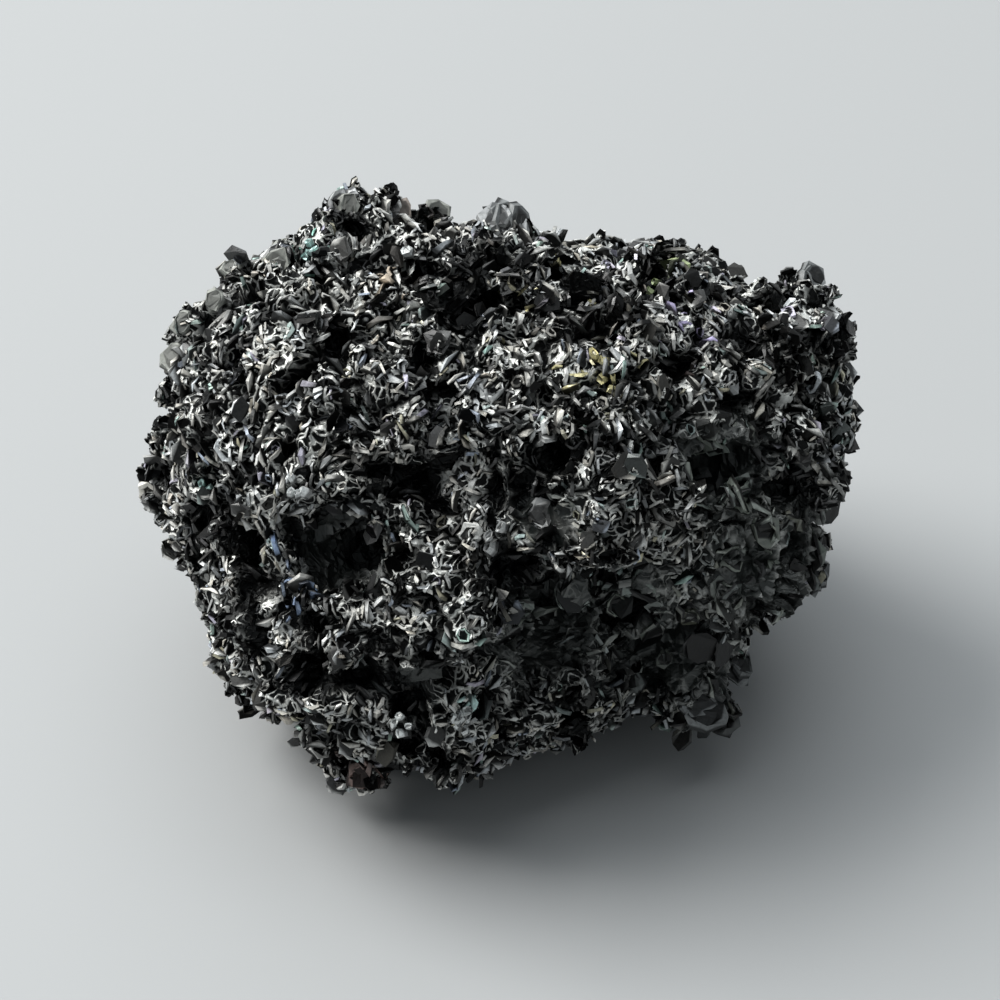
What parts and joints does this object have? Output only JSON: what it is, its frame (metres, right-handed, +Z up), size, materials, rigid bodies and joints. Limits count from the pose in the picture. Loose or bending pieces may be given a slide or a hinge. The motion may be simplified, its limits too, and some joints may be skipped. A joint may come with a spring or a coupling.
{
  "type": "silicon carbide cluster",
  "caption": "Rough dark lump of intergrown six-sided silicon carbide crystals, with pits and ledges between them; it rests on a small flat underside.",
  "frame": {"origin": "under the middle of the bounding box, on the plane that the lump rests on", "axes": "+X runs along the lump's longest extent, +Z is up as it rests, and the side that faces -Y has the deepest hollows"},
  "size_m": [0.0314, 0.0274, 0.0232],
  "materials": {
    "silicon_carbide": "dark grey crystal faces with a metal-like shine, and thin blue, green, gold and violet tarnish in patches"
  },
  "bodies": {
    "root": {"silicon_carbide_cluster": "silicon_carbide"}
  },
  "joints": []
}
